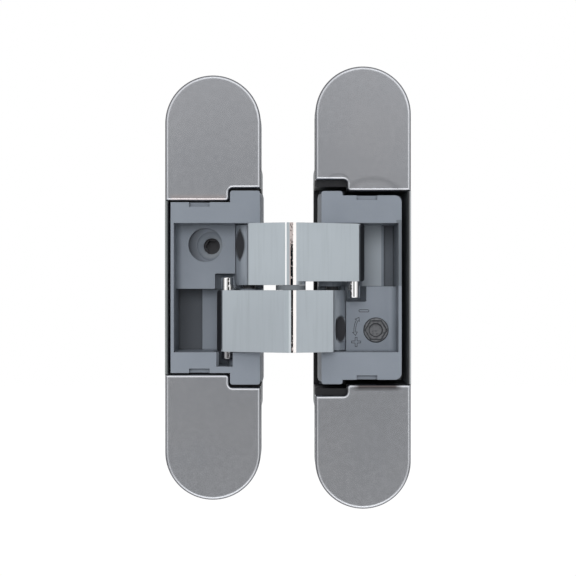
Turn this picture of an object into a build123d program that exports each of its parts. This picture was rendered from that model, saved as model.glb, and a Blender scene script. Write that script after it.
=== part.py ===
from build123d import *
import os
from math import atan2, asin, cos, degrees, hypot, radians, sin, tan

# The two leaves: X across them, Y into the door edge from their faces, Z up
leaf_width = 24.0
frame_length = 106.5
door_length = 111.0
frame_edge = 7.5
door_edge = 6.15
housing_depth = 27.0
flange_depth = 12.0
box_half_height = 35.0
box_corner = 5.0
side_wall = 0.7
cavity_depth = 22.5
running_gap = 0.1
slide_gap = 0.25
cut_over = 1.0

# Cover caps, one at each end of a leaf
cap_depth = 3.0
cap_face = 1.0
cap_wall = 0.9
cap_rounding = 0.75
cap_step_width = 7.95
cap_step_rounding = 0.9
frame_cap_body_gap = 0.35
frame_cap_tab_gap = 0.65
door_cap_body_gap = 1.15
door_cap_tab_gap = 2.85
cap_post_r = 1.5
cap_post_x = 6.5
cap_post_depth = 6.0

# Wood screw holes under the caps
fixing_r = 2.25
fixing_head_r = 4.1
fixing_end = 5.95
fixing_pitch = 8.6

# Linkage: centre pin open and closed, root pin and slider pin, seen from above
open_centre_y = -4.0
closed_reach = 23.0
closed_half_gap = 2.5
root_depth = 9.5
slider_x = -15.9
slider_y = 2.5
face_angle = 21.5
door_turn = -180.0

# Arms
boss_r = 3.7
root_knuckle_r = 3.5
slider_knuckle_r = 2.7
hook_reach = 10.8
link_reach = 17.3
link_corner_r = 0.3
link_rounding = 0.75
face_corner_r = 0.7
face_corner_depth = 0.8
hook_rounding = 0.5
flank_drop = 1.0
arm_low = 0.65
arm_high = 16.0
upper_link_relief = 0.9
blind_end = 1.2
lens_x = -13.0
lens_z = 10.9
lens_width = 2.3
lens_height = 8.4
oval_x = -12.8
oval_z = 10.6
oval_width = 2.6
oval_height = 6.4
oval_corner = 1.1
knuckle_recess_y = 8.3
centre_pin_r = 2.0
root_pin_r = 1.6
slider_pin_r = 1.55
pin_clearance = 0.05
washer_height = 1.2
pin_recess = 0.6

# Carriers, the blocks that bear the arms
carrier_edge = 7.7
carrier_draft = 0.6
draft_depth = 6.0
carrier_corner = 0.6
door_corner = 1.7
frame_outer_gap = 0.7
door_outer_gap = 1.65
frame_body_z = 21.4
frame_tab_z = 24.3
door_body_z = 23.1
door_tab_z = 24.2
frame_tab_width = 7.5
door_tab_width = 5.3
frame_carrier_depth = 20.5
door_carrier_depth = 19.5
pocket_half_height = 16.2
pocket_split_z = -0.3
pocket_wall = 0.8
floor_clearance = 0.35
floor_rounding = 2.0
seat_r = 3.65
slider_pocket_y = 17.6
slider_shelf_y = 15.8
frame_shelf_x = -23.1
door_shelf_x = -24.4
slider_front_y = 5.6
island_r = 2.45
notch_width = 5.1
notch_height = 1.1
notch_depth = 1.6
slot_corner_r = 0.5
frame_notch_x = -22.9
door_notch_x = -19.1
slot_clearance = 0.25
web_notch_height = 3.6
band_slot_bottom = -19.8
slider_pin_top = 2.6
slider_pin_bottom = -18.0
root_pin_top = 19.6
root_pin_bottom = -9.0
band_notch_shift = 0.9
mouth_depth = 2.2

# Depth adjustment in the frame leaf
depth_travel = 1.0
depth_screw_x = -20.4
depth_screw_z = 10.7
depth_screw_r = 3.0
depth_screw_front = 14.6
depth_neck_r = 2.0
depth_groove = 0.5
depth_flange_r = 3.6
depth_flange = 0.7
clip_r = 3.4
clip_thickness = 0.8
clip_gap = 0.1
clip_play = 0.025
clip_mouth = 2.0
depth_plate = 2.5
hex_socket = 3.0
tool_bore_r = 2.1
outer_sink_r = 4.35
outer_sink_x = -21.9
outer_sink_z = 10.95
outer_sink_depth = 1.6
inner_sink_r = 3.7
inner_sink_depth = 1.9
sink_cone = 1.4
sink_overlap = 0.4

# Side adjustment in the door leaf
side_travel = 1.0
cam_x = -21.9
cam_z = 10.9
cam_head_r = 3.2
cam_head = 2.4
cam_shank_r = 2.5
cam_lobe_r = 2.0
cam_angle = 45.0
cam_socket = 4.8
cam_socket_depth = 0.9
cam_drill_r = 1.7
cam_drill_depth = 1.0
cam_proud = 0.3
lobe_clearance = 0.12

# Height adjustment in the door leaf
height_travel = 1.0
plate_half_height = 32.3
plate_corner = 4.0
plate_key_half = 2.5
plate_key = 1.5
clamp_z = 29.5
clamp_r = 2.0
clamp_head_r = 3.4
clamp_head = 2.6
clamp_socket = 3.0
clamp_socket_depth = 1.7
clamp_sink = 4.4
clamp_washer_r = 3.4
clamp_washer = 0.6
lip_width = 1.3


# What sits beside a leaf's edge, its cap or its screws follows them
frame_carrier_outer = frame_edge + leaf_width - side_wall - frame_outer_gap
door_carrier_outer = door_edge + leaf_width - side_wall - door_outer_gap
frame_cap_outer_z = frame_body_z + frame_cap_body_gap
frame_cap_inner_z = frame_tab_z + frame_cap_tab_gap
door_cap_outer_z = door_body_z + door_cap_body_gap
door_cap_inner_z = door_tab_z + door_cap_tab_gap
fixing_outer_z = frame_length / 2 - fixing_end
fixing_inner_z = fixing_outer_z - fixing_pitch


# Geometry of the linkage, worked out from the values above
open_centre = (0.0, open_centre_y)
closed_centre = (-closed_reach, -closed_half_gap)
chord_x = closed_centre[0] - open_centre[0]
chord_y = closed_centre[1] - open_centre[1]
middle_x = (open_centre[0] + closed_centre[0]) / 2
middle_y = (open_centre[1] + closed_centre[1]) / 2
root_x = middle_x - (root_depth - middle_y) * chord_y / chord_x
root = (root_x, root_depth)
root_arm = hypot(root_x, root_depth - open_centre_y)
swing_angle = -2 * degrees(asin(hypot(chord_x, chord_y) / 2 / root_arm))
elbow_angle = door_turn - 2 * swing_angle
slider_arm = hypot(slider_x, slider_y - open_centre_y)
slider_start = degrees(atan2(slider_y - open_centre_y, slider_x))


def turned(point, centre, angle):
    dx = point[0] - centre[0]
    dy = point[1] - centre[1]
    c = cos(radians(angle))
    s = sin(radians(angle))
    return (centre[0] + c * dx - s * dy, centre[1] + s * dx + c * dy)


def centre_at(share):
    return turned(open_centre, root, share * swing_angle)


def slider_at(share):
    centre = centre_at(share)
    angle = radians(slider_start + share * (swing_angle + elbow_angle))
    return (centre[0] + slider_arm * cos(angle), centre[1] + slider_arm * sin(angle))


# Front faces of the arms fall away from the boss at face_angle on both sides
hook_face_x = -boss_r * sin(radians(face_angle))
hook_face_y = open_centre_y - boss_r * cos(radians(face_angle))


def face_y(reach):
    return hook_face_y + (reach + hook_face_x) * tan(radians(face_angle))


hook_corner = (-hook_reach, face_y(hook_reach))
root_floor = turned(hook_corner, root, swing_angle)[1] + floor_clearance
cam_offset = side_travel / sin(radians(cam_angle))


# Helpers
def rect(x0, x1, y0, y1):
    return Pos((x0 + x1) / 2, (y0 + y1) / 2) * Rectangle(abs(x1 - x0), abs(y1 - y0))


def rounded_rect(x0, x1, half_height, corner):
    return Pos((x0 + x1) / 2, 0) * RectangleRounded(x1 - x0, 2 * half_height, corner)


def front_slab(sketch, y_front, y_back):
    face = Plane(origin=(0, y_back, 0), x_dir=(1, 0, 0), z_dir=(0, -1, 0))
    return extrude(face * sketch, amount=y_back - y_front)


def plan_slab(sketch, z_low, z_high):
    return Pos(0, 0, z_low) * extrude(sketch, amount=z_high - z_low)


def rod_y(x, z, radius, y_front, y_back):
    return front_slab(Pos(x, z) * Circle(radius), y_front, y_back)


def rod_z(point, radius, z_low, z_high):
    return plan_slab(Pos(*point) * Circle(radius), z_low, z_high)


def door_side(shape):
    return Rot(0, 180, 0) * shape


# Leaf outlines, drawn on the frame side of the centre plane
def leaf_outline(edge, length):
    straight = length - leaf_width
    return Pos(-edge - leaf_width / 2, 0) * SlotCenterToCenter(straight, leaf_width, rotation=90)


def cap_region(edge, length, outer_z, inner_z):
    outer_x = -edge - leaf_width
    step_x = -edge - cap_step_width
    outer = rect(outer_x, step_x, outer_z, length / 2)
    inner = rect(step_x, -edge, inner_z, length / 2)
    return outer + inner


def cap_outline(edge, length, outer_z, inner_z):
    outline = leaf_outline(edge, length) & cap_region(edge, length, outer_z, inner_z)
    step_x = -edge - cap_step_width
    corners = [v for v in outline.vertices() if abs(v.X - step_x) < 0.01 and v.Y < length / 4]
    return fillet(corners, cap_step_rounding)


def cap_body(edge, length, outer_z, inner_z):
    outline = cap_outline(edge, length, outer_z, inner_z)
    shell = front_slab(outline, 0, cap_depth)
    front = shell.faces().sort_by(Axis.Y)[0]
    shell = fillet(front.edges(), cap_rounding)
    hollow = offset(outline, amount=-cap_wall, kind=Kind.INTERSECTION)
    shell -= front_slab(hollow, cap_face, cap_depth + cut_over)
    for x, z in cap_posts(edge):
        shell += rod_y(x, z, cap_post_r, cap_face / 2, cap_post_depth)
    return shell


def cap_posts(edge):
    centre_x = -edge - leaf_width / 2
    post_z = (fixing_inner_z + fixing_outer_z) / 2
    return [(centre_x + s * cap_post_x, post_z) for s in (1, -1)]


def upside_down(shape):
    return mirror(shape, about=Plane.XY)


# Housings
def housing_shell(edge, length, outer_z, inner_z):
    outline = leaf_outline(edge, length)
    body = front_slab(outline, cap_depth + running_gap, flange_depth)
    box = Pos(-edge - leaf_width / 2, 0) * RectangleRounded(leaf_width, 2 * box_half_height, box_corner)
    body += front_slab(box, cap_depth + running_gap, housing_depth)
    rim = offset(cap_outline(edge, length, outer_z, inner_z),
                 amount=-cap_wall - running_gap, kind=Kind.INTERSECTION)
    pad = front_slab(rim, cap_face + running_gap, cap_depth + running_gap + cut_over)
    body += pad
    body += upside_down(pad)
    wall = rect(-edge - leaf_width, -edge - leaf_width + side_wall, -outer_z, outer_z)
    body += front_slab(wall, 0, cap_depth + running_gap + cut_over)
    return body


def fixing_holes(edge):
    centre_x = -edge - leaf_width / 2
    sink = fixing_head_r - fixing_r
    seat_y = cap_face + running_gap
    cuts = []
    for z in (fixing_inner_z, fixing_outer_z, -fixing_inner_z, -fixing_outer_z):
        cuts.append(rod_y(centre_x, z, fixing_r, 0, housing_depth))
        cone = Pos(centre_x, seat_y + sink / 2, z) * Rot(90, 0, 0) * Cone(fixing_r, fixing_head_r, sink)
        cuts.append(cone)
    return cuts


def post_holes(edge):
    cuts = []
    for x, z in cap_posts(edge):
        for s in (1, -1):
            cuts.append(rod_y(x, s * z, cap_post_r + pin_clearance, 0, cap_post_depth + running_gap))
    return cuts


def housing_cavity(edge, body_z, tab_z, step_x):
    outer_x = -edge - leaf_width + side_wall
    inner_x = -edge + cut_over
    cavity = front_slab(rect(outer_x, inner_x, -body_z, body_z), -cut_over, cavity_depth)
    return cavity + front_slab(rect(step_x, inner_x, -tab_z, tab_z), -cut_over, cavity_depth)


def frame_housing():
    step_x = -carrier_edge - frame_tab_width - slide_gap
    body = housing_shell(frame_edge, frame_length, frame_cap_outer_z, frame_cap_inner_z)
    body -= housing_cavity(frame_edge, frame_body_z + slide_gap, frame_tab_z + slide_gap, step_x)
    for cut in fixing_holes(frame_edge) + post_holes(frame_edge):
        body -= cut
    seat_back = cavity_depth + depth_plate
    neck_room = depth_neck_r + pin_clearance
    past_back = housing_depth + cut_over
    body -= rod_y(depth_screw_x, depth_screw_z, neck_room, cavity_depth - cut_over, past_back)
    body -= rod_y(depth_screw_x, depth_screw_z, clip_r + slide_gap, seat_back, past_back)
    return body


def door_housing():
    step_x = -carrier_edge - door_tab_width - side_travel - slide_gap
    room = height_travel + slide_gap
    body = housing_shell(door_edge, door_length, door_cap_outer_z, door_cap_inner_z)
    body -= housing_cavity(door_edge, door_body_z + room, door_tab_z + room, step_x)
    plate_front = door_carrier_depth + running_gap
    outer_x = -door_edge - leaf_width + side_wall
    inner_x = -door_edge - lip_width
    tall = plate_half_height + room
    slot = rounded_rect(outer_x, inner_x, tall, plate_corner + 3 * running_gap)
    body -= front_slab(slot, plate_front - running_gap, cavity_depth)
    lip_z = box_half_height - box_corner
    lip = rect(inner_x, -door_edge, -lip_z, lip_z)
    body += front_slab(lip, plate_front + slide_gap, cavity_depth + cut_over)
    for cut in fixing_holes(door_edge) + post_holes(door_edge) + clamp_slots():
        body -= cut
    return body


def clamp_slots():
    cuts = []
    head_room = clamp_head_r + slide_gap
    shank_room = clamp_r + slide_gap
    travel = 2 * height_travel
    for s in (1, -1):
        spot = Pos(clamp_x(), s * clamp_z)
        head = spot * SlotCenterToCenter(travel, 2 * head_room, rotation=90)
        shank = spot * SlotCenterToCenter(travel, 2 * shank_room, rotation=90)
        cuts.append(front_slab(head, 0, cap_depth + clamp_sink))
        cuts.append(front_slab(shank, 0, door_carrier_depth + cut_over))
    return cuts


def clamp_x():
    return -door_edge - leaf_width / 2


# Carriers
def carrier_outline(outer, body_z, tab_z, tab_width):
    step_x = -carrier_edge - tab_width
    return rect(-outer, step_x, -body_z, body_z) + rect(step_x, -carrier_edge, -tab_z, tab_z)


def side_corners(outline, x):
    return [v for v in outline.vertices() if abs(v.X - x) < 0.01]


def tab_corners(outline, tab_z):
    return [v for v in outline.vertices() if abs(abs(v.Y) - tab_z) < 0.01]


def side_draft(depth):
    edge_x = -carrier_edge
    deep_x = edge_x + carrier_draft
    inside_x = edge_x - cut_over
    corners = [(inside_x, 0), (edge_x, 0), (deep_x, draft_depth), (deep_x, depth), (inside_x, depth)]
    return make_face(Polyline(*corners, close=True))


def carrier_block(outline, tab_z, depth):
    flank_z = tab_z - carrier_corner
    return front_slab(outline, 0, depth) + plan_slab(side_draft(depth), -flank_z, flank_z)


def root_pocket(outer):
    wall_x = -outer + pocket_wall
    outline = rect(wall_x, 2 * boss_r, -2 * boss_r, root_floor)
    corner = [v for v in outline.vertices() if abs(v.X - wall_x) < 0.01 and v.Y > 0]
    outline = fillet(corner, floor_rounding)
    outline += Pos(*root) * Circle(seat_r)
    outline += rect(root[0], 2 * boss_r, 0, root[1] + seat_r)
    return plan_slab(outline, pocket_split_z, pocket_half_height)


def slider_pocket(outer, shelf_x):
    wall_x = -outer + pocket_wall
    deep = rect(wall_x, shelf_x, -2 * boss_r, slider_pocket_y)
    shelf = rect(shelf_x, root[0], -2 * boss_r, slider_shelf_y)
    front = rect(root[0], 2 * boss_r, -2 * boss_r, slider_front_y)
    outline = deep + shelf + front - Pos(*root) * Circle(island_r)
    return plan_slab(outline, -pocket_half_height, pocket_split_z)


def slider_slot(mouth_shift, mouth_y, z_low, z_high):
    path = ThreePointArc(slider_at(0), slider_at(0.5), slider_at(1))
    half = slider_pin_r + slot_clearance
    groove = SlotArc(path, 2 * half)
    mouth = rect(slider_x - half - mouth_shift, slider_x + half - mouth_shift / 2, -cut_over, mouth_y)
    slot = plan_slab(groove + mouth, z_low, z_high)
    reach = slot.bounding_box()
    front = Pos((reach.min.X + reach.max.X) / 2, (z_low + z_high) / 2)
    front *= RectangleRounded(reach.max.X - reach.min.X, z_high - z_low, slot_corner_r)
    return slot & front_slab(front, reach.min.Y - cut_over, reach.max.Y + cut_over)


def pry_notches(notch_x, body_z):
    cuts = []
    for s in (1, -1):
        cut = rect(notch_x - notch_width / 2, notch_x + notch_width / 2,
                   s * (body_z - notch_height), s * (body_z + cut_over))
        cuts.append(front_slab(cut, -cut_over, notch_depth))
    return cuts


def arm_room(block, outer, shelf_x):
    block -= root_pocket(outer)
    block -= slider_pocket(outer, shelf_x)
    block -= slider_slot(0, root_floor + mouth_depth, pocket_split_z - cut_over, web_notch_height)
    bore_bottom = root_pin_bottom - running_gap
    bore_top = root_pin_top + running_gap
    block -= rod_z(root, root_pin_r + pin_clearance, bore_bottom, bore_top)
    return block


def frame_carrier():
    outline = carrier_outline(frame_carrier_outer, frame_body_z, frame_tab_z, frame_tab_width)
    outline = fillet(tab_corners(outline, frame_tab_z), carrier_corner)
    block = carrier_block(outline, frame_tab_z, frame_carrier_depth)
    block = arm_room(block, frame_carrier_outer, frame_shelf_x)
    block -= slider_slot(band_notch_shift, slider_y, band_slot_bottom, -pocket_half_height + cut_over)
    for cut in pry_notches(frame_notch_x, frame_body_z):
        block -= cut
    sink_y = root_floor + inner_sink_depth
    lip_y = root_floor + outer_sink_depth
    block -= rod_y(outer_sink_x, outer_sink_z, outer_sink_r, root_floor - cut_over, lip_y)
    block -= rod_y(depth_screw_x, depth_screw_z, inner_sink_r, lip_y - sink_overlap, sink_y)
    cone = Cone(tool_bore_r, inner_sink_r, sink_cone)
    block -= Pos(depth_screw_x, sink_y + sink_cone / 2, depth_screw_z) * Rot(90, 0, 0) * cone
    past_back = frame_carrier_depth + cut_over
    block -= rod_y(depth_screw_x, depth_screw_z, tool_bore_r, root_floor, past_back)
    thread_y = depth_screw_front - depth_travel - running_gap
    bore_r = depth_screw_r + pin_clearance
    block -= rod_y(depth_screw_x, depth_screw_z, bore_r, thread_y, past_back)
    return block


def door_carrier():
    outline = carrier_outline(door_carrier_outer, door_body_z, door_tab_z, door_tab_width)
    outline = fillet(tab_corners(outline, door_tab_z), carrier_corner)
    outline = fillet(side_corners(outline, -door_carrier_outer), door_corner)
    block = carrier_block(outline, door_tab_z, door_carrier_depth)
    block = arm_room(block, door_carrier_outer, door_shelf_x)
    for cut in pry_notches(door_notch_x, door_body_z):
        block -= cut
    key = rect(-door_carrier_outer + cut_over, -carrier_edge - cut_over, -plate_key_half, plate_key_half)
    block += front_slab(key, door_carrier_depth - cut_over, door_carrier_depth + plate_key)
    head_r = cam_head_r + pin_clearance
    past_back = door_carrier_depth + cut_over
    block -= rod_y(cam_x, cam_z, head_r, root_floor - cut_over, root_floor + cam_head)
    block -= rod_y(cam_x, cam_z, cam_shank_r + pin_clearance, root_floor, past_back)
    return block


# Arms
def arm_outline():
    boss = Pos(*open_centre) * Circle(boss_r)
    knuckle = Pos(*root) * Circle(root_knuckle_r)
    bar_x = root[0] / root_arm
    bar_y = (root[1] - open_centre_y) / root_arm
    across = (bar_y, -bar_x)
    lean = radians(-swing_angle)
    flank_y = root[1] - flank_drop
    flank_length = (flank_y - hook_corner[1]) / sin(lean)
    flank_end = (hook_corner[0] + flank_length * cos(lean), flank_y)
    web = [
        open_centre,
        (hook_face_x, hook_face_y),
        hook_corner,
        flank_end,
        root,
        (root[0] + across[0] * root_knuckle_r, root[1] + across[1] * root_knuckle_r),
        (open_centre[0] + across[0] * boss_r, open_centre[1] + across[1] * boss_r),
    ]
    hook = make_face(Polyline(*web, close=True))
    corner = [v for v in hook.vertices() if abs(v.X - hook_corner[0]) < 0.01]
    hook = fillet(corner, hook_rounding)
    return boss + knuckle + hook


def link_outline():
    boss = Pos(*open_centre) * Circle(boss_r)
    end = Pos(-slider_x, slider_y) * Circle(slider_knuckle_r)
    lean = radians(face_angle)
    corner_x = link_reach - link_corner_r * (1 + sin(lean))
    corner_y = face_y(link_reach) + link_corner_r * cos(lean)
    corner = Pos(corner_x, corner_y) * Circle(link_corner_r)
    return make_hull(boss.edges() + end.edges() + corner.edges())


def link_front(link_low):
    reach = -slider_x + slider_knuckle_r
    middle_z = (link_low + arm_high) / 2
    return Pos(0, middle_z) * RectangleRounded(2 * reach, arm_high - link_low, link_rounding)


def lens():
    half = lens_width / 2
    bow = (lens_height ** 2 + lens_width ** 2) / (4 * lens_width)
    return (Pos(half - bow, 0) * Circle(bow)) & (Pos(bow - half, 0) * Circle(bow))


def lens_recess():
    return front_slab(Pos(lens_x, lens_z) * lens(), 0, knuckle_recess_y)


def oval_recess():
    oval = Pos(oval_x, oval_z) * RectangleRounded(oval_width, oval_height, oval_corner)
    return front_slab(oval, 0, knuckle_recess_y)


def face_corner(reach, side):
    inner_x = reach - face_corner_r
    inner_z = arm_high - face_corner_r
    corner = rect(inner_x, reach + cut_over, inner_z, arm_high + cut_over)
    corner -= Pos(inner_x, inner_z) * Circle(face_corner_r)
    cut = front_slab(corner, -2 * boss_r, face_y(reach) + face_corner_depth)
    return cut if side > 0 else mirror(cut, about=Plane.YZ)


def arm(link_low, slider_bore_top, recess):
    body = plan_slab(arm_outline(), arm_low, arm_high)
    link = plan_slab(link_outline(), link_low, arm_high)
    body += link & front_slab(link_front(link_low), -2 * boss_r, 2 * boss_r)
    body -= face_corner(link_reach, 1)
    body -= face_corner(hook_reach, -1)
    body -= recess
    body -= rod_z(open_centre, centre_pin_r + pin_clearance, 0, arm_high + cut_over)
    body -= rod_z(root, root_pin_r + pin_clearance, 0, arm_high + cut_over)
    body -= rod_z((-slider_x, slider_y), slider_pin_r + pin_clearance, 0, slider_bore_top)
    return body


# Pins and the washer between the arms
def centre_pin():
    reach = arm_high - pin_recess
    return chamfer(rod_z(open_centre, centre_pin_r, -reach, reach).edges(), pin_recess / 2)


def centre_washer():
    ring = rod_z(open_centre, boss_r, -washer_height / 2, washer_height / 2)
    return ring - rod_z(open_centre, centre_pin_r + pin_clearance, -washer_height, washer_height)


def root_pin():
    return chamfer(rod_z(root, root_pin_r, root_pin_bottom, root_pin_top).edges(), pin_recess / 2)


def slider_pin(z_low):
    spot = (slider_x, slider_y)
    return fillet(rod_z(spot, slider_pin_r, z_low, slider_pin_top).edges(), pin_recess / 2)


# Adjusting screws
def depth_screw():
    flange_y = cavity_depth - depth_flange - running_gap
    back_y = cavity_depth + depth_plate + clip_gap + 2 * clip_thickness
    body = rod_y(depth_screw_x, depth_screw_z, depth_screw_r, depth_screw_front, flange_y - depth_travel)
    body += rod_y(depth_screw_x, depth_screw_z, depth_neck_r, depth_screw_front + hex_socket, back_y)
    body += rod_y(depth_screw_x, depth_screw_z, depth_flange_r, flange_y, cavity_depth - running_gap)
    socket = Pos(depth_screw_x, depth_screw_z) * RegularPolygon(hex_socket / 2, 6, major_radius=False)
    body -= front_slab(socket, depth_screw_front - cut_over, depth_screw_front + hex_socket)
    groove_back = clip_front() + clip_thickness
    groove = rod_y(depth_screw_x, depth_screw_z, depth_neck_r + cut_over, clip_front(), groove_back)
    groove -= rod_y(depth_screw_x, depth_screw_z, depth_neck_r - depth_groove, clip_front(), groove_back)
    return body - groove


def clip_front():
    return cavity_depth + depth_plate + clip_gap


def depth_screw_clip():
    inner_r = depth_neck_r - depth_groove + pin_clearance
    front = clip_front() + clip_play
    back = clip_front() + clip_thickness - clip_play
    half = clip_mouth / 2
    ring = rod_y(depth_screw_x, depth_screw_z, clip_r, front, back)
    ring -= rod_y(depth_screw_x, depth_screw_z, inner_r, front - cut_over, back + cut_over)
    mouth = rect(depth_screw_x - half, depth_screw_x + half, depth_screw_z, depth_screw_z + 2 * clip_r)
    return ring - front_slab(mouth, front - cut_over, back + cut_over)


def side_cam():
    head_y = root_floor - cam_proud
    seat_y = root_floor + cam_head - running_gap
    body = rod_y(cam_x, cam_z, cam_head_r, head_y, seat_y)
    body = chamfer(body.edges().sort_by(Axis.Y)[0], cam_proud)
    body += rod_y(cam_x, cam_z, cam_shank_r, seat_y - cut_over, door_carrier_depth)
    lobe_z = cam_z - cam_offset
    body += rod_y(cam_x, lobe_z, cam_lobe_r, door_carrier_depth, cavity_depth - running_gap)
    socket = Pos(cam_x, cam_z) * RegularPolygon(cam_socket / 2, 6, major_radius=False)
    body -= front_slab(socket, head_y - cut_over, head_y + cam_socket_depth)
    return body - rod_y(cam_x, cam_z, cam_drill_r, head_y, head_y + cam_socket_depth + cam_drill_depth)


# The sliding plate behind the door carrier, and the screws that clamp it
def slide_plate():
    front = door_carrier_depth + running_gap
    back = cavity_depth - running_gap
    outer_x = -door_edge - leaf_width + side_wall + running_gap
    inner_x = -door_edge - lip_width - running_gap
    body = front_slab(rounded_rect(outer_x, inner_x, plate_half_height, plate_corner), front, back)
    groove_half = plate_key_half + running_gap
    groove = rect(outer_x - cut_over, inner_x + cut_over, -groove_half, groove_half)
    body -= front_slab(groove, front - cut_over, front + plate_key)
    rise = cam_offset * (1 - cos(radians(cam_angle)))
    slot_width = 2 * (cam_lobe_r + lobe_clearance)
    slot = SlotCenterToCenter(rise + 2 * lobe_clearance, slot_width, rotation=90)
    body -= front_slab(Pos(cam_x, cam_z - cam_offset + rise / 2) * slot, front - cut_over, back + cut_over)
    for s in (1, -1):
        body -= rod_y(clamp_x(), s * clamp_z, clamp_r + pin_clearance, front - cut_over, back + cut_over)
    return body


def clamp_screw(side):
    seat_y = cap_depth + clamp_sink - clamp_washer - running_gap
    body = rod_y(clamp_x(), side * clamp_z, clamp_head_r - slide_gap, seat_y - clamp_head, seat_y)
    body += rod_y(clamp_x(), side * clamp_z, clamp_r, seat_y - cut_over, cavity_depth - running_gap)
    socket = Pos(clamp_x(), side * clamp_z) * RegularPolygon(clamp_socket / 2, 6, major_radius=False)
    head_y = seat_y - clamp_head
    return body - front_slab(socket, head_y - cut_over, head_y + clamp_socket_depth)


def clamp_washer_ring(side):
    seat_y = cap_depth + clamp_sink - running_gap / 2
    ring = rod_y(clamp_x(), side * clamp_z, clamp_washer_r, seat_y - clamp_washer, seat_y)
    return ring - rod_y(clamp_x(), side * clamp_z, clamp_r + pin_clearance, 0, seat_y + cut_over)


# Every piece under its own name
def build_pieces():
    frame_cap = cap_body(frame_edge, frame_length, frame_cap_outer_z, frame_cap_inner_z)
    door_cap = cap_body(door_edge, door_length, door_cap_outer_z, door_cap_inner_z)
    return {
        "frame_housing": frame_housing(),
        "frame_cap_top": frame_cap,
        "frame_cap_bottom": upside_down(frame_cap),
        "frame_carrier": frame_carrier(),
        "upper_root_pin": root_pin(),
        "depth_screw": depth_screw(),
        "depth_screw_clip": depth_screw_clip(),
        "upper_arm": arm(arm_low + upper_link_relief, arm_high - blind_end, lens_recess()),
        "lower_arm": door_side(arm(arm_low, arm_high + cut_over, oval_recess())),
        "centre_pin": centre_pin(),
        "centre_washer": centre_washer(),
        "frame_slider_pin": slider_pin(slider_pin_bottom),
        "door_slider_pin": door_side(slider_pin(-arm_high + blind_end + running_gap)),
        "door_carrier": door_side(door_carrier()),
        "lower_root_pin": door_side(root_pin()),
        "side_cam": door_side(side_cam()),
        "slide_plate": door_side(slide_plate()),
        "clamp_screw_top": door_side(clamp_screw(-1)),
        "clamp_screw_bottom": door_side(clamp_screw(1)),
        "clamp_washer_top": door_side(clamp_washer_ring(-1)),
        "clamp_washer_bottom": door_side(clamp_washer_ring(1)),
        "door_housing": door_side(door_housing()),
        "door_cap_top": door_side(upside_down(door_cap)),
        "door_cap_bottom": door_side(door_cap),
    }


# The origin is the middle of the frame leaf's seat, the back of its flange, halfway between its screws
origin_shift = frame_edge + leaf_width / 2

os.makedirs("parts", exist_ok=True)
pieces = {name: Pos(origin_shift, -flange_depth, 0) * piece for name, piece in build_pieces().items()}
for name, piece in pieces.items():
    export_step(piece, f"parts/{name}.step")
    print(name, len(piece.solids()), round(piece.volume, 1))
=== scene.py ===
# %% [markdown]
# A concealed door hinge
#
# Two die-cast leaves are let into the door and its frame. Two crossed arms join them and fold into
# pockets in the leaves as the door shuts. The metal shapes were drawn in CAD, because they have to
# fit each other. Blender adds what CAD doesn't have: finishes, cast marks, light and a camera.

# %% Load the CAD frame
import math
import bpy
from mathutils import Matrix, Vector


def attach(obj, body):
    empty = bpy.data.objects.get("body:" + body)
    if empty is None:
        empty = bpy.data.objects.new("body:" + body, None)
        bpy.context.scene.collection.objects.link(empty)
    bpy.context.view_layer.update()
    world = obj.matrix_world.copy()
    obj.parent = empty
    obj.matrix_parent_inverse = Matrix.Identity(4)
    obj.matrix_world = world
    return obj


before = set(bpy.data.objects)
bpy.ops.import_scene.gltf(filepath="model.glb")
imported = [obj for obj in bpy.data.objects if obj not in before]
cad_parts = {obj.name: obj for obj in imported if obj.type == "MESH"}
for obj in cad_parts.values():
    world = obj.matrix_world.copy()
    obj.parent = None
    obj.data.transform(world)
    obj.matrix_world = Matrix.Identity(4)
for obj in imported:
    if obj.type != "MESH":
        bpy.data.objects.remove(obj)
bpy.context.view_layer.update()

MM = 0.001
print("pieces from CAD:", len(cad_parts))

# %% [markdown]
# Nets of nodes
#
# A finish could be a picture wrapped round each piece, but a CAD piece has no UV map to wrap it by,
# and a picture is sharp at one distance only. So a finish here is a small net of nodes: noise for
# the grain, a range that narrows it to a spread of roughness or colour, and a bump for what a
# fingernail would feel. All of them read the piece's own object space, so a pattern stays on its
# piece when the hinge turns.

# %% A material and its grain
def new_material(name):
    material = bpy.data.materials.new(name)
    material.use_nodes = True
    net = material.node_tree
    return material, net, net.nodes["Principled BSDF"]


def grain(net, stretch, scale, detail=3.0):
    place = net.nodes.new("ShaderNodeTexCoord")
    mapping = net.nodes.new("ShaderNodeMapping")
    mapping.inputs["Scale"].default_value = stretch
    noise = net.nodes.new("ShaderNodeTexNoise")
    noise.inputs["Scale"].default_value = scale
    noise.inputs["Detail"].default_value = detail
    net.links.new(place.outputs["Object"], mapping.inputs["Vector"])
    net.links.new(mapping.outputs["Vector"], noise.inputs["Vector"])
    return noise.outputs["Fac"]


# %% Ranges and bumps
def spread(net, value, low, high, start=0.3, end=0.7):
    remap = net.nodes.new("ShaderNodeMapRange")
    remap.inputs["From Min"].default_value = start
    remap.inputs["From Max"].default_value = end
    remap.inputs["To Min"].default_value = low
    remap.inputs["To Max"].default_value = high
    net.links.new(value, remap.inputs["Value"])
    return remap.outputs["Result"]


def felt(net, value, height, edge):
    bump = net.nodes.new("ShaderNodeBump")
    bump.inputs["Strength"].default_value = 1.0
    bump.inputs["Distance"].default_value = height
    net.links.new(value, bump.inputs["Height"])
    soft = net.nodes.new("ShaderNodeBevel")
    soft.samples = 6
    soft.inputs["Radius"].default_value = edge
    net.links.new(soft.outputs["Normal"], bump.inputs["Normal"])
    return bump.outputs["Normal"]


# %% [markdown]
# Painting over
#
# Much of what follows lays one more tone over a finish, in one place. The whole net could be built
# in one go for each piece, but it would be hard to read. paint takes what colours the shader so
# far, blends the new tone over it by its share, and links the result back.

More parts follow.
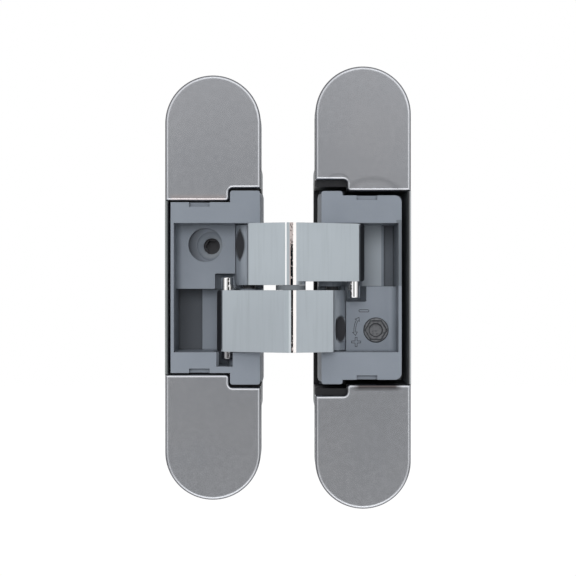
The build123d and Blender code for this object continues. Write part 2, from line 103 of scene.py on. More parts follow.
# %% Blend two tones, and lay one over a finish
def blend(net, share, first, second):
    mix = net.nodes.new("ShaderNodeMix")
    mix.data_type = "RGBA"
    if isinstance(share, (int, float)):
        mix.inputs[0].default_value = share
    else:
        net.links.new(share, mix.inputs[0])
    for socket, value in ((mix.inputs[6], first), (mix.inputs[7], second)):
        if isinstance(value, tuple):
            socket.default_value = (*value, 1)
        else:
            net.links.new(value, socket)
    return mix.outputs[2]


def paint(net, share, tone):
    base = net.nodes["Principled BSDF"].inputs["Base Color"]
    below = base.links[0].from_socket
    net.links.new(blend(net, share, below, tone), base)


# %% [markdown]
# Die-cast zinc
#
# The leaves and the blocks in them are cast in zinc and coated a matt blue-grey. Up close the coat
# has a fine orange-peel and a slow change of tone. A metal shader would mirror the studio, which
# this coat hardly does, so the shader is mostly diffuse with a soft sheen. Shade is painted into the
# inner corners: ambient occlusion finds them and darkens the colour there.

# %% The coat
corner_shade_tone = (0.05, 0.055, 0.065)


# crevice gives where the painted shade goes: the inner corners that ambient occlusion finds
def crevice(net, reach, depth):
    near = net.nodes.new("ShaderNodeAmbientOcclusion")
    near.samples = 8
    near.only_local = True
    near.inputs["Distance"].default_value = reach * MM
    return spread(net, near.outputs["AO"], depth, 0, 0.3, 0.85)


def cast_finish(name, dark, light, roughness, peel=0.008, shade_reach=0.7, shade_depth=0.5):
    material, net, shader = new_material(name)
    shader.inputs["Metallic"].default_value = 0.2
    shader.inputs["Specular IOR Level"].default_value = 0.35
    slow = spread(net, grain(net, (1, 1, 1), 70, 5), 0, 1, 0.35, 0.65)
    net.links.new(blend(net, slow, dark, light), shader.inputs["Base Color"])
    # painted shade in the inner corners
    paint(net, crevice(net, shade_reach, shade_depth), corner_shade_tone)
    fine = grain(net, (1, 1, 1), 2600, 2)
    net.links.new(spread(net, fine, roughness - 0.05, roughness + 0.07), shader.inputs["Roughness"])
    net.links.new(felt(net, fine, peel * MM, 0.12 * MM), shader.inputs["Normal"])
    return material


# %% Blocks, leaves, plate and washer
block_coat = (0.212, 0.238, 0.275), (0.235, 0.262, 0.302)
leaf_coat = (0.17, 0.19, 0.205), (0.21, 0.232, 0.248)
frame_block_cast = cast_finish("frame_block_cast", *block_coat, 0.5)
door_block_cast = cast_finish("door_block_cast", *block_coat, 0.5)
frame_leaf_cast = cast_finish("frame_leaf_cast", *leaf_coat, 0.52)
door_leaf_cast = cast_finish("door_leaf_cast", *leaf_coat, 0.52)
plate_cast = cast_finish("plate_cast", (0.1, 0.11, 0.12), (0.13, 0.14, 0.15), 0.5)
washer_grey = cast_finish("washer_grey", (0.13, 0.145, 0.16), (0.16, 0.175, 0.19), 0.45)
print("cast finishes:", frame_block_cast.name, door_block_cast.name, frame_leaf_cast.name,
      door_leaf_cast.name, plate_cast.name, washer_grey.name)

# %% [markdown]
# The leaves' rims
#
# Beside the blocks each leaf shows only the front of its side wall, half a millimetre wide. It is
# pale at the outer corner and dark towards the block, as light falls on its rounded edge. A rounded
# edge would give that by itself in a close view, but here the whole rim is two pixels wide, so a
# highlight and a shade are painted on by place. For that the net has to do sums with the place of
# each point, which it does one step at a time.

# %% Sums and places
def compute(net, operation, *values):
    step = net.nodes.new("ShaderNodeMath")
    step.operation = operation
    for socket, value in zip(step.inputs, values):
        if isinstance(value, (int, float)):
            socket.default_value = value
        else:
            net.links.new(value, socket)
    return step.outputs[0]


def axis_of(net, axis, output="Object"):
    place = net.nodes.new("ShaderNodeTexCoord")
    split = net.nodes.new("ShaderNodeSeparateXYZ")
    net.links.new(place.outputs[output], split.inputs[0])
    return split.outputs[axis]


def in_box(net, low, high, soft=0.1):
    middle = [(a + b) / 2 * MM for a, b in zip(low, high)]
    half = [(b - a) / 2 * MM for a, b in zip(low, high)]
    farthest = None
    for axis in range(3):
        offset = compute(net, "SUBTRACT", axis_of(net, axis), middle[axis])
        beyond = compute(net, "SUBTRACT", compute(net, "ABSOLUTE", offset), half[axis])
        farthest = beyond if farthest is None else compute(net, "MAXIMUM", farthest, beyond)
    return spread(net, farthest, 1, 0, -soft * MM, 0)


# %% Painted light and shade across a rim
rim_front, rim_back, rim_end = -12.4, -11.2, 25


def painted_rim_light(finish, start, end, start_tone, end_tone):
    net = finish.node_tree
    across = spread(net, axis_of(net, 0), 0, 1, start * MM, end * MM)
    on_rim = in_box(net, (start - 3, rim_front, -rim_end), (end + 3, rim_back, rim_end))
    # painted highlight and shade: the tone runs from start_tone to end_tone across the rim
    paint(net, on_rim, blend(net, across, start_tone, end_tone))
    print(finish.name, "rim from x", start, "to", end, "mm")


painted_rim_light(frame_leaf_cast, -12.0, -11.4, (0.3, 0.32, 0.315), (0.09, 0.098, 0.1))
painted_rim_light(door_leaf_cast, 49.15, 49.5, (0.035, 0.036, 0.04), (0.42, 0.44, 0.455))

# %% [markdown]
# Shade in the hollows
#
# Little light reaches the inside of the leaves and the deep ends of the pockets. Narrower lamps
# would give that shade, but they would change the fronts too. So the shade is part of the finish:
# what lies inside a box in the piece's own space takes a darker tone. The shelf behind the upper
# arm catches light and takes a paler one.

# %% Boxes of shade
black = (0.02, 0.02, 0.022)


def shade_box(finish, low, high, share, tone):
    net = finish.node_tree
    paint(net, compute(net, "MULTIPLY", in_box(net, low, high), share), tone)
    print(finish.name, "box from", low, "to", high, "mm")


shade_box(frame_block_cast, (-12, 4.2, -17), (-3.2, 6.4, -0.2), 0.68, black)
shade_box(door_block_cast, (43.2, 4.2, 0.2), (48, 6.4, 17), 0.5, black)
shade_box(door_block_cast, (38.2, -2.5, 0.4), (43.3, 4.1, 17), 1, (0.38, 0.42, 0.46))
shade_box(door_block_cast, (45.9, -13, 0.4), (47.6, -10.5, 17), 0.6, (0.08, 0.09, 0.1))
shade_box(frame_leaf_cast, (-11.25, -11.5, -25.5), (12.6, 11.0, 25.5), 1, black)
shade_box(door_leaf_cast, (25.2, -11.5, -27.6), (48.9, 11.0, 27.6), 1, black)

# %% [markdown]
# The stepped screw sink
#
# The screw at the upper left sits at the bottom of two round sinks, the smaller one set off to the
# right. The left wall lies in shade, and the cone at the lower right catches light. One hard lamp
# could do both, but it would throw the arms' shadows across the pockets as well. So each tone is
# painted where its wall is, bounded by an oval as seen from the front and by two depths.

# %% Ovals
def oval_reach(net, centre, radii, pointed=False):
    x = compute(net, "SUBTRACT", axis_of(net, 0), centre[0] * MM)
    z = compute(net, "SUBTRACT", axis_of(net, 2), centre[1] * MM)
    x = compute(net, "DIVIDE", x, radii[0] * MM)
    z = compute(net, "DIVIDE", z, radii[1] * MM)
    width = compute(net, "ABSOLUTE", x) if pointed else compute(net, "MULTIPLY", x, x)
    return compute(net, "ADD", width, compute(net, "MULTIPLY", z, z))


def in_oval(net, centre, radii, front, back, pointed=False, soft=0.25):
    inside = spread(net, oval_reach(net, centre, radii, pointed), 1, 0, 1 - soft, 1 + soft)
    depth = axis_of(net, 1)
    near = spread(net, depth, 0, 1, (front - 0.1) * MM, front * MM)
    far = spread(net, depth, 1, 0, back * MM, (back + 0.1) * MM)
    return compute(net, "MULTIPLY", inside, compute(net, "MULTIPLY", near, far))


# %% The sink's walls
net = frame_block_cast.node_tree
sink_front, sink_back = -3.3, 12
outer_sink, outer_r = (-2.4, 11.05), 4.34
inner_sink, inner_r = (-1.3, 10.75), 3.2
outer = in_oval(net, outer_sink, (outer_r, outer_r), sink_front, sink_back, soft=0.05)
inner = in_oval(net, inner_sink, (inner_r, inner_r), sink_front, sink_back)
crescent = compute(net, "MULTIPLY", outer, compute(net, "SUBTRACT", 1, inner))
leftward = spread(net, axis_of(net, 0), 0.9, 0.1, -6.2 * MM, -2.2 * MM)
paint(net, compute(net, "MULTIPLY", crescent, leftward), corner_shade_tone)
low_right = compute(net, "SUBTRACT", axis_of(net, 0), axis_of(net, 2))
lit_side = spread(net, low_right, 0.15, 0.9, -14 * MM, -9 * MM)
paint(net, compute(net, "MULTIPLY", inner, lit_side), (0.36, 0.39, 0.42))
print("sink shaded from y", sink_front, "to", sink_back, "mm")

# %% [markdown]
# Plated caps
#
# The caps are plated and brushed so finely that only a soft sheen is left. The plating pools a
# little, so its tone drifts slowly. The brush lines are far finer than a pixel, so modelling them
# would only cost time. A narrow spread of roughness does the same.

# %% Plated metal
scratch_depth = 0.0008


def plated_finish(name, dark, light, low, high, stretch, scale, edge=0.1):
    material, net, shader = new_material(name)
    shader.inputs["Metallic"].default_value = 1.0
    cloud = spread(net, grain(net, (1, 1, 1), 45, 3), 0, 1, 0.35, 0.65)
    net.links.new(blend(net, cloud, dark, light), shader.inputs["Base Color"])
    lines = grain(net, stretch, scale, 3)
    net.links.new(spread(net, lines, low, high), shader.inputs["Roughness"])
    net.links.new(felt(net, lines, scratch_depth * MM, edge * MM), shader.inputs["Normal"])
    return material


cap_tones = (0.53, 0.545, 0.58), (0.56, 0.57, 0.6)
cap_plate = plated_finish("cap_plate", *cap_tones, 0.2, 0.24, (1, 1, 1), 900, edge=0.5)
print("plated finish:", cap_plate.name)

# %% [markdown]
# What the caps mirror
#
# Flat metal shows what stands before it: two dark arcs on the upper right cap, a brown band along
# the lower right one and a rosy band along the upper left one. Cards hung round the hinge could be
# mirrored there, but they would have to be moved for each view. So these reflections are painted
# into the plating's colour, faint, and stay in place.

# %% Painted reflections: arcs and bands
net = cap_plate.node_tree
arcs = [((40.1, 23.4), (6.6, 3.9)), ((31.4, 26.8), (2.6, 1.7))]
# dark arcs: painted reflections
for centre, radii in arcs:
    off_arc = compute(net, "SUBTRACT", oval_reach(net, centre, radii), 1)
    arc = spread(net, compute(net, "ABSOLUTE", off_arc), 0.3, 0, 0, 0.5)
    above = spread(net, axis_of(net, 2), 0, 1, centre[1] * MM, (centre[1] + 1) * MM)
    paint(net, compute(net, "MULTIPLY", arc, above), (0.25, 0.25, 0.265))

# brown band: a painted reflection
brown_start, brown_end = -26.05, -24.95
brown_low, brown_high = (34.5, -16, -30), (47.8, -8, -20)
brown = spread(net, axis_of(net, 2), 0, 0.92, brown_start * MM, brown_end * MM)
brown = compute(net, "MULTIPLY", brown, in_box(net, brown_low, brown_high, 2.2))
paint(net, brown, (0.055, 0.042, 0.04))
# rosy band: a painted reflection
rosy_low, rosy_high = (-11, -15, 20.6), (3.6, -9.4, 23.6)
rosy = compute(net, "MULTIPLY", in_box(net, rosy_low, rosy_high, 0.9), 0.6)
paint(net, rosy, (0.66, 0.59, 0.58))
print("arcs:", len(arcs), "brown band from z", brown_start, "to", brown_end, "mm")

# %% [markdown]
# The caps' edges
#
# Where a cap's edge turns to the left or falls away steeply it mirrors the dark part of the room,
# which draws a thin dark line round the cap. The studio alone gives a fainter line, so a dark
# reflection is painted into the plating by the direction that its surface faces.

# %% Tones by direction
place = net.nodes.new("ShaderNodeTexCoord")
facing = net.nodes.new("ShaderNodeSeparateXYZ")
net.links.new(place.outputs["Normal"], facing.inputs[0])
# painted dark reflections on faces that turn left or fall away steeply
paint(net, spread(net, facing.outputs[0], 0.35, 0, -0.3, -0.08), (0.2, 0.2, 0.21))
forward = compute(net, "ABSOLUTE", facing.outputs[1])
falling = spread(net, forward, 0.7, 0, 0.45, 0.82)
not_side = spread(net, forward, 0, 1, 0.02, 0.2)
paint(net, compute(net, "MULTIPLY", falling, not_side), (0.09, 0.09, 0.125))
print("cap nodes:", len(net.nodes))

# %% [markdown]
# The arms
#
# Each arm is ground flat on its two front faces, which leaves fine upright lines. Behind these
# faces it keeps the cast grey of the blocks. The two finishes could be two material slots, but a
# CAD piece keeps its mesh and has one slot. So one finish is split by place: from the arms' own
# sizes it works out how far a point lies behind the front faces.

# %% Places on an arm
face_slope = math.tan(math.radians(21.5))
face_front = -19.443 * MM
face_start = 1.356 * MM
arm_middle = 19.5 * MM


def across_arm(net):
    return compute(net, "SUBTRACT", axis_of(net, 0), arm_middle)


def behind_faces(net, out):
    reach = compute(net, "SUBTRACT", out, face_start)
    fall = compute(net, "MULTIPLY", reach, face_slope)
    face = compute(net, "ADD", compute(net, "MAXIMUM", fall, 0), face_front)
    behind = compute(net, "SUBTRACT", axis_of(net, 1), face)
    return spread(net, behind, 0, 1, 0.35 * MM, 0.55 * MM)


print("the front faces fall back", round(face_slope, 3), "mm a millimetre")

# %% [markdown]
# The crease
#
# Between the two ground faces runs a narrow polished crease that throws back white light, with a
# dark, speckled line beside it. A mirror-like strip would show the studio instead, and differently
# in each view. So the highlights and the dark line, a reflection, are painted: a ramp across the
# crease sets their tones in order, and noise breaks up the line.

# %% Painted highlights across the crease
def ramp_of(net, value, stops):
    ramp = net.nodes.new("ShaderNodeValToRGB")
    while len(ramp.color_ramp.elements) < len(stops):
        ramp.color_ramp.elements.new(0.5)
    for element, (position, tone) in zip(ramp.color_ramp.elements, stops):
        element.position = position
        element.color = (*tone, 1)
    net.links.new(value, ramp.inputs["Fac"])
    return ramp.outputs["Color"]


# the speckled dark line beside the crease is a painted reflection
def dark_reflection_line(net, across, line_from, line_to, solid_at, sparse_at, sparse):
    speckle = grain(net, (1, 0.3, 0.45), 3200, 2)
    fade = spread(net, axis_of(net, 2), 0, sparse, solid_at * MM, sparse_at * MM)
    dark = spread(net, compute(net, "SUBTRACT", speckle, fade), 0, 1, 0.34, 0.38)
    left = spread(net, across, 0, 1, (line_from - 0.05) * MM, (line_from + 0.05) * MM)
    right = spread(net, across, 1, 0, (line_to - 0.04) * MM, (line_to + 0.04) * MM)
    return compute(net, "MULTIPLY", dark, compute(net, "MULTIPLY", left, right))


# %% [markdown]
# One finish for an arm
#
# The layers go on from the widest to the narrowest: streaks on the ground faces, the cast grey
# behind them, a painted dark reflection at the end of the limb, painted shade in the recess of the
# knuckle, and last the crease with its painted highlights. One shader for each layer and a mix of
# them all would be slower. Only the ground faces are bare metal, so the same shares also set how
# metallic each place is; the crease is left without metal, so its painted highlight stays white.

# %% Layers of an arm
ground_tones = (0.405, 0.445, 0.48), (0.44, 0.485, 0.52)
streak_tone, behind_tone = (0.33, 0.365, 0.39), (0.26, 0.29, 0.33)
limb_dark_reflection, recess_shade, reflection_line_tone = (0.02, 0.021, 0.025), (0.018, 0.019, 0.024), (0.004, 0.004, 0.005)
recess_front, recess_back = -16, -3.2
limb_end, crease_half = 17.32, 1.34


def arm_finish(name, recess_centre, recess_radii, pointed, stops, line):
    material = plated_finish(name, *ground_tones, 0.3, 0.38, (1, 1, 0.05), 2600)
    net = material.node_tree
    shader = net.nodes["Principled BSDF"]
    across = across_arm(net)
    out = compute(net, "ABSOLUTE", across)
    cast = behind_faces(net, out)
    paint(net, spread(net, grain(net, (1, 1, 0.04), 1500, 2), 0, 0.3, 0.5, 0.75), streak_tone)
    paint(net, cast, behind_tone)
    # painted dark reflection on the far end of the limb
    paint(net, spread(net, out, 0, 1, limb_end * MM, (limb_end + 0.1) * MM), limb_dark_reflection)
    # painted shade in the knuckle's recess
    recess = in_oval(net, recess_centre, recess_radii, recess_front, recess_back, pointed)
    paint(net, recess, recess_shade)
    # painted highlights and the painted dark reflected line on the crease
    dark = dark_reflection_line(net, across, **line)
    across_share = spread(net, across, 0, 1, -face_start, face_start)
    crease = blend(net, dark, ramp_of(net, across_share, stops), reflection_line_tone)
    on_crease = spread(net, out, 1, 0, crease_half * MM, (crease_half + 0.04) * MM)
    on_crease = compute(net, "MULTIPLY", on_crease, compute(net, "SUBTRACT", 1, cast))
    paint(net, on_crease, crease)
    dull = compute(net, "MAXIMUM", compute(net, "MULTIPLY", cast, 0.8), on_crease)
    net.links.new(compute(net, "SUBTRACT", 1, dull), shader.inputs["Metallic"])
    no_sheen = compute(net, "MULTIPLY", dark, on_crease)
    net.links.new(spread(net, no_sheen, 0.5, 0.02, 0, 1), shader.inputs["Specular IOR Level"])
    return material


# %% Upper and lower arm
# tones of the painted highlights and reflections across the crease
white, pink = (0.9, 0.9, 0.9), (0.93, 0.89, 0.875)
grey, beige, pale = (0.34, 0.38, 0.41), (0.46, 0.4, 0.385), (0.5, 0.54, 0.57)
beige_then_pink = [(0.7, beige), (0.72, pink), (1, pink)]
upper_arm_plate = arm_finish(
    "upper_arm_plate", recess_centre=(6.5, 10.9), recess_radii=(1.3, 4.1), pointed=True,
    stops=[(0, white), (0.1, white), (0.14, grey), (0.36, grey), (0.42, beige)] + beige_then_pink,
    line=dict(line_from=-0.08, line_to=0.56, solid_at=9, sparse_at=12, sparse=0.2))
lower_arm_plate = arm_finish(
    "lower_arm_plate", recess_centre=(32.3, -10.6), recess_radii=(1.45, 3.4), pointed=False,
    stops=[(0, grey), (0.3, grey), (0.34, pale), (0.52, pale), (0.55, beige)] + beige_then_pink,
    line=dict(line_from=0.07, line_to=0.58, solid_at=-14, sparse_at=-15, sparse=0.1))
print("arm finishes:", upper_arm_plate.name, lower_arm_plate.name)

# %% [markdown]
# Pins and screws
#
# The two slider pins are bright round bar with a dark, broken line down the front, and fall into
# shade at the bottom, which is painted as a darker tone. A bump map could draw that line, but it is
# not a groove, so it is painted as a tone. The other pins and the screws are blacked steel, a cast
# finish with darker tones.

# %% Bright pins and black steel
def pin_finish(name, line_x):
    material = plated_finish(name, (0.8, 0.8, 0.81), (0.9, 0.9, 0.9), 0.08, 0.16, (1, 1, 0.2), 3000)
    net = material.node_tree
    # painted shade towards the bottom of the pins
    paint(net, spread(net, axis_of(net, 2), 0.72, 0, -15.2 * MM, -14.8 * MM), (0.1, 0.1, 0.11))
    away = compute(net, "ABSOLUTE", compute(net, "SUBTRACT", axis_of(net, 0), line_x * MM))
    near = spread(net, away, 1, 0, 0.14 * MM, 0.24 * MM)
    speckle = spread(net, grain(net, (1, 0.3, 0.4), 3600, 2), 0, 1, 0.42, 0.5)
    paint(net, compute(net, "MULTIPLY", near, speckle), (0.015, 0.015, 0.018))
    return material


frame_pin_steel = pin_finish("frame_pin_steel", 3.9)
door_pin_steel = pin_finish("door_pin_steel", 34.7)
black_steel = cast_finish("black_steel", (0.045, 0.045, 0.05), (0.065, 0.065, 0.07), 0.45)
print("steels:", frame_pin_steel.name, door_pin_steel.name, black_steel.name)

# %% [markdown]
# The turning screw
#
# The screw that shifts the door sideways is bare steel, a little grainy, and shade is painted as
# thin dark lines in the steps of its head: round the drilled centre, along the six flats and at the
# rim. Those lines could come from ambient occlusion, as on the castings, but the steps are too
# shallow for that. So each line is drawn at its own distance from the screw's centre.

# %% Grit, and painted shade in the steps of the head
cam_centre = (41.4, -10.9)
centre_edge, flat_edge, rim_edge = 1.72, 2.42, 3.2
cam_steel = cast_finish("cam_steel", (0.14, 0.146, 0.155), (0.21, 0.215, 0.225), 0.4,
                        peel=0.02, shade_reach=0.4, shade_depth=0.95)
net = cam_steel.node_tree
grit = spread(net, grain(net, (1, 1, 1), 1500, 3), 0, 0.7, 0.45, 0.7)
paint(net, grit, (0.05, 0.05, 0.055))
x = compute(net, "SUBTRACT", axis_of(net, 0), cam_centre[0] * MM)
z = compute(net, "SUBTRACT", axis_of(net, 2), cam_centre[1] * MM)
reach = compute(net, "ADD", compute(net, "MULTIPLY", x, x), compute(net, "MULTIPLY", z, z))
reach = compute(net, "SQRT", reach)
flats = None
for turn in (30, 90, 150):
    along_x = compute(net, "MULTIPLY", x, math.cos(math.radians(turn)))
    along_z = compute(net, "MULTIPLY", z, math.sin(math.radians(turn)))
    side = compute(net, "ABSOLUTE", compute(net, "ADD", along_x, along_z))
    flats = side if flats is None else compute(net, "MAXIMUM", flats, side)
# painted shade lines at the three steps
for distance, edge in ((reach, centre_edge), (flats, flat_edge), (reach, rim_edge)):
    away = compute(net, "ABSOLUTE", compute(net, "SUBTRACT", distance, edge * MM))
    paint(net, spread(net, away, 0.9, 0, 0.05 * MM, 0.16 * MM), (0.02, 0.021, 0.025))
print("lines on the screw's head at", centre_edge, flat_edge, rim_edge, "mm")

# %% [markdown]
# Giving the CAD pieces their finish
#
# A CAD piece keeps its mesh. A copy with a finish could be laid over it, but two surfaces in one
# place flicker, so only the material in its slots changes. The first word that is found in the
# piece's name decides which one it gets.

# %% Assign the finishes
finishes = [
    ("frame_housing", frame_leaf_cast), ("door_housing", door_leaf_cast), ("slide_plate", plate_cast),
    ("frame_carrier", frame_block_cast), ("door_carrier", door_block_cast), ("_cap_", cap_plate),
    ("upper_arm", upper_arm_plate), ("lower_arm", lower_arm_plate), ("centre_washer", washer_grey),
    ("frame_slider_pin", frame_pin_steel), ("door_slider_pin", door_pin_steel),
    ("_pin", black_steel), ("side_cam", cam_steel),
    ("screw", black_steel), ("clamp_washer", black_steel),
]
for name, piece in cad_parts.items():
    piece.data.materials.clear()
    piece.data.materials.append(next(made for word, made in finishes if word in name))
print("dressed:", ", ".join(sorted(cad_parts)))

# %% [markdown]
# Cast marks
#
# Round the turning screw the pocket's floor carries three low marks, a minus, a plus and a double
# arrow, that say which way it moves the door. They could be bumps in the floor's finish, but then
# an exported mesh would lack them. Each is a flat curve, filled and turned into a mesh, and then
# its front is inset and pulled out, which leaves a step all round. Shade is painted on that step,
# so the finish is dark below the mark's top.

# %% The look of a mark
pocket_floor = -3.379
mark_cast, net, shader = new_material("mark_cast")
shader.inputs["Metallic"].default_value = 0.2
shader.inputs["Roughness"].default_value = 0.5
slow = spread(net, grain(net, (1, 1, 1), 70, 5), 0, 1)
net.links.new(blend(net, slow, (0.2, 0.225, 0.26), (0.23, 0.257, 0.297)), shader.inputs["Base Color"])
# painted shade on the step below each mark's top
step = spread(net, axis_of(net, 1), 0, 1, (pocket_floor - 0.11) * MM, (pocket_floor - 0.09) * MM)
paint(net, step, (0.04, 0.044, 0.052))
print("mark finish:", mark_cast.name)

# %% From an outline to a plate on the floor
plate_half, rim_width, top_rise = 0.05, 0.15, 0.08


def outline_plate(name, outline):
    curve = bpy.data.curves.new(name, "CURVE")
    curve.dimensions = "2D"
    curve.fill_mode = "BOTH"
    curve.extrude = plate_half * MM
    line = curve.splines.new("POLY")
    line.points.add(len(outline) - 1)
    for point, (x, z) in zip(line.points, outline):
        point.co = (x * MM, z * MM, 0, 1)
    line.use_cyclic_u = True
    mark = bpy.data.objects.new(name, curve)
    bpy.context.scene.collection.objects.link(mark)
    bpy.ops.object.select_all(action="DESELECT")
    mark.select_set(True)
    bpy.context.view_layer.objects.active = mark
    bpy.ops.object.convert(target="MESH")
    mark = bpy.context.object
    mark.location.y = pocket_floor * MM
    mark.rotation_euler.x = math.pi / 2
    bpy.ops.object.transform_apply(location=True, rotation=True, scale=True)
    return mark


# %% Raise the top of a mark
def raise_top(mark):
    bpy.ops.object.mode_set(mode="EDIT")
    bpy.ops.mesh.select_all(action="SELECT")
    bpy.ops.mesh.remove_doubles(threshold=0.001 * MM)
    bpy.ops.mesh.dissolve_limited(angle_limit=math.radians(1))
    bpy.ops.mesh.normals_make_consistent(inside=False)
    bpy.ops.mesh.select_mode(type="FACE")
    bpy.ops.mesh.select_all(action="DESELECT")
    bpy.ops.object.mode_set(mode="OBJECT")
    for face in mark.data.polygons:
        face.select = face.normal.y < -0.9
    bpy.ops.object.mode_set(mode="EDIT")
    bpy.ops.mesh.inset(thickness=rim_width * MM)
    bpy.ops.mesh.extrude_region_move(TRANSFORM_OT_translate={"value": (0, -top_rise * MM, 0)})
    bpy.ops.object.mode_set(mode="OBJECT")


# %% [markdown]
# The marks' outlines
#
# The minus is a slot with round ends. The plus has arms that narrow a little outwards, because the
# fill of a curve tears where corners lie in one line. The arrow bends round the screw, so its
# points are given as distances and angles from the screw's centre.

# %% Minus and plus
def around(centre, radius, start, end, steps):
    angles = [math.radians(start + (end - start) * step / steps) for step in range(steps + 1)]
    return [(centre[0] + radius * math.cos(a), centre[1] + radius * math.sin(a)) for a in angles]


minus = around((37.3, -5.95), 0.36, 90, 270, 6) + around((39.3, -5.95), 0.36, -90, 90, 6)
plus_centre = (36.3, -13.95)
arm, inner, reach = 0.31, 0.34, 1.26
plus = [(plus_centre[0] + x, plus_centre[1] + z) for x, z in (
    (inner, inner), (reach, arm), (reach, -arm), (inner, -inner), (arm, -reach), (-arm, -reach),
    (-inner, -inner), (-reach, -arm), (-reach, arm), (-inner, inner), (-arm, reach), (arm, reach))]
print("minus", len(minus), "points, plus", len(plus), "points")

# %% The double arrow
bend_r, shaft_half, head_half = 5.44, 0.3, 0.75
top_tip, top_head, low_head, low_tip = 142, 153, 185, 196


def at(offset, angle):
    return around(cam_centre, bend_r + offset, angle, angle, 1)[:1]


outer_side = around(cam_centre, bend_r + shaft_half, top_head, low_head, 14)
inner_side = around(cam_centre, bend_r - shaft_half, low_head, top_head, 14)
arrow = (at(0, top_tip) + at(head_half, top_head) + outer_side + at(head_half, low_head)
         + at(0, low_tip) + at(-head_half, low_head) + inner_side + at(-head_half, top_head))
print("arrow", len(arrow), "points")

# %% Make the three marks
for name, outline in (("mark_minus", minus), ("mark_plus", plus), ("mark_arrow", arrow)):
    mark = outline_plate(name, outline)
    raise_top(mark)
    mark.data.materials.append(mark_cast)
    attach(mark, "door_block")
    print(mark.name, "triangles", sum(len(face.vertices) - 2 for face in mark.data.polygons))

# %% [markdown]
# The floor
#
# The hinge is seen against white, and the white must not light it from below. A glowing floor would
# do just that, so the floor only looks bright: rays from the camera and from mirrors see a glow,
# while all other rays see a plain white surface that keeps the shadow. Under the hinge and in front
# of it only the camera sees the floor, because the rims would mirror it.

# %% The plane
floor_z = -0.14
bpy.ops.object.select_all(action="DESELECT")
bpy.ops.mesh.primitive_plane_add(size=3.2, location=(0, 0, floor_z))
floor = bpy.context.object
floor.name = "floor"
print("floor at z", floor_z, "m")

# %% White to the camera
floor_white, net, shader = new_material("floor_white")
shader.inputs["Base Color"].default_value = (0.85, 0.85, 0.85, 1)
shader.inputs["Roughness"].default_value = 0.9
glow = net.nodes.new("ShaderNodeEmission")
glow.inputs["Strength"].default_value = 1.03
path = net.nodes.new("ShaderNodeLightPath")
from_camera = path.outputs["Is Camera Ray"]
mirrored = compute(net, "MAXIMUM", path.outputs["Is Glossy Ray"], path.outputs["Is Transmission Ray"])
x, y = axis_of(net, 0), axis_of(net, 1)
away = compute(net, "ADD", compute(net, "MULTIPLY", x, x), compute(net, "MULTIPLY", y, y))
clear = spread(net, compute(net, "SQRT", away), 0.8, 1, 0.12, 0.32)
seen = compute(net, "MULTIPLY", compute(net, "MAXIMUM", from_camera, mirrored), clear)
white_floor = net.nodes.new("ShaderNodeMixShader")
net.links.new(seen, white_floor.inputs["Fac"])
net.links.new(shader.outputs[0], white_floor.inputs[1])
net.links.new(glow.outputs[0], white_floor.inputs[2])
print("floor finish:", floor_white.name)

# %% Open in front
unseen = compute(net, "SUBTRACT", 1, from_camera)
front = compute(net, "MULTIPLY", unseen, spread(net, y, 1, 0, 0.1, 0.14))
through = net.nodes.new("ShaderNodeBsdfTransparent")
open_front = net.nodes.new("ShaderNodeMixShader")
net.links.new(front, open_front.inputs["Fac"])
net.links.new(white_floor.outputs[0], open_front.inputs[1])
net.links.new(through.outputs[0], open_front.inputs[2])
net.links.new(open_front.outputs[0], net.nodes["Material Output"].inputs["Surface"])
floor.data.materials.append(floor_white)
print("floor nodes:", len(net.nodes))

# %% [markdown]
# The studio
#
# Metal shows its surroundings, so the studio decides what the hinge looks like. Walls and cards
# could be modelled round it, but a world of plain tones is quicker and has no edges. It is darker
# in front, where the camera stands, and brighter round the sides, so flat faces get an even grey
# and rounded edges a bright line. The backdrop is white to the camera and to mirrors.

# %% What metal mirrors
world = bpy.context.scene.world or bpy.data.worlds.new("studio")
bpy.context.scene.world = world
world.use_nodes = True
net = world.node_tree
net.nodes.clear()
levels = [(0, 0.42), (10, 0.46), (18, 0.7), (26, 1.5), (34, 1.6), (42, 1.05), (56, 1.0), (66, 0.6),
          (76, 0.3), (100, 0.22), (180, 0.3)]
stops = [((1 - math.cos(math.radians(angle))) / 2, (level, level, level)) for angle, level in levels]
away, up = axis_of(net, 1, "Generated"), axis_of(net, 2, "Generated")
around_hinge = ramp_of(net, spread(net, away, 0, 1, -1, 1), stops)
rise = spread(net, up, 0.64, 1.18, -0.28, 0.28)
rise = compute(net, "ADD", rise, spread(net, up, 0.9, 0, -0.5, -0.33))
mirrored_tone = net.nodes.new("ShaderNodeVectorMath")
mirrored_tone.operation = "SCALE"
net.links.new(around_hinge, mirrored_tone.inputs[0])
net.links.new(rise, mirrored_tone.inputs["Scale"])
print("studio levels by angle from the camera's side:", levels)

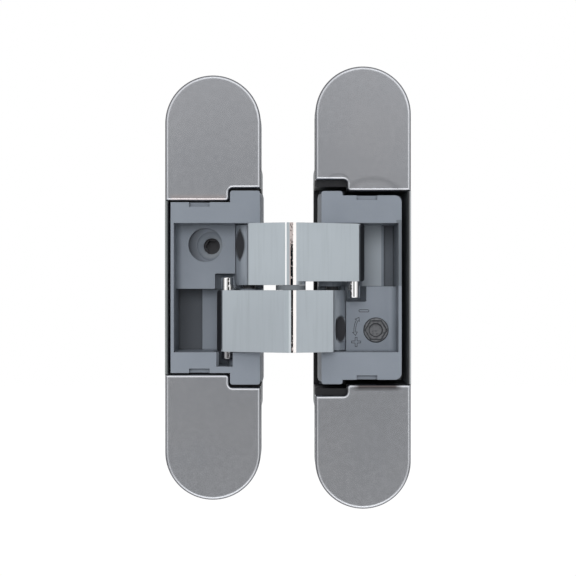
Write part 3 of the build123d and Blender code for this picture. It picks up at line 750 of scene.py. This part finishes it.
# %% What lights the hinge, and the backdrop
path = net.nodes.new("ShaderNodeLightPath")
mirrored = compute(net, "MAXIMUM", path.outputs["Is Glossy Ray"], path.outputs["Is Transmission Ray"])
plain = spread(net, away, 0.42, 0.95, -0.25, 0.35)
lit = net.nodes.new("ShaderNodeBackground")
net.links.new(blend(net, mirrored, plain, mirrored_tone.outputs[0]), lit.inputs["Color"])
white_backdrop = net.nodes.new("ShaderNodeBackground")
white_backdrop.inputs["Color"].default_value = (1, 1, 1, 1)
behind = compute(net, "MULTIPLY", mirrored, spread(net, away, 0, 1, 0.7, 0.8))
mix = net.nodes.new("ShaderNodeMixShader")
net.links.new(compute(net, "MAXIMUM", path.outputs["Is Camera Ray"], behind), mix.inputs["Fac"])
net.links.new(lit.outputs[0], mix.inputs[1])
net.links.new(white_backdrop.outputs[0], mix.inputs[2])
out = net.nodes.new("ShaderNodeOutputWorld")
net.links.new(mix.outputs[0], out.inputs["Surface"])
print("world nodes:", len(net.nodes))

# %% [markdown]
# Two soft lamps
#
# The world alone would light the pockets as much as the fronts. Two wide disks, one above and one
# in front, bring the fronts forward and keep their shadows soft. The metal doesn't mirror them, so
# no bright spot sits on the caps.

# %% The lamps
aim = Vector((0.0188, -0.012, 0))
lamps = [("lamp_above", (0.0, -0.45, 0.55), 0.35, 0.8), ("lamp_front", (-0.03, -0.62, 0.12), 0.3, 2.4)]
for name, place, size, power in lamps:
    bpy.ops.object.select_all(action="DESELECT")
    bpy.ops.object.light_add(type="AREA", location=place)
    lamp = bpy.context.object
    lamp.name = name
    lamp.data.shape = "DISK"
    lamp.data.size = size
    lamp.data.energy = power
    lamp.visible_glossy = False
    lamp.rotation_euler = (aim - lamp.location).to_track_quat("-Z", "Y").to_euler()
    print(name, lamp.data.energy, "W")

# %% [markdown]
# Camera
#
# The hinge is seen straight on from about 35 cm. A long lens from far away would show the pockets'
# walls as lines only, while from this near they lean in a little, as they should.

# %% The camera
pixels, pixel_size = 576, 0.2505
frame_height = pixels * pixel_size * MM
middle_x, middle_z = 0.01882, -0.0001
face_y = -12 * MM
distance = 0.35
sensor = 36.0
camera_data = bpy.data.cameras.new("photo_camera")
camera = bpy.data.objects.new("photo_camera", camera_data)
bpy.context.scene.collection.objects.link(camera)
camera.location = (middle_x, face_y - distance, middle_z)
camera.rotation_euler = (math.radians(90), 0, 0)
camera_data.sensor_width = sensor
camera_data.lens = sensor * distance / frame_height
camera_data.clip_start = 0.01
bpy.context.scene.camera = camera
bpy.context.scene.view_settings.view_transform = "Standard"
print("lens", round(camera_data.lens, 1), "mm")
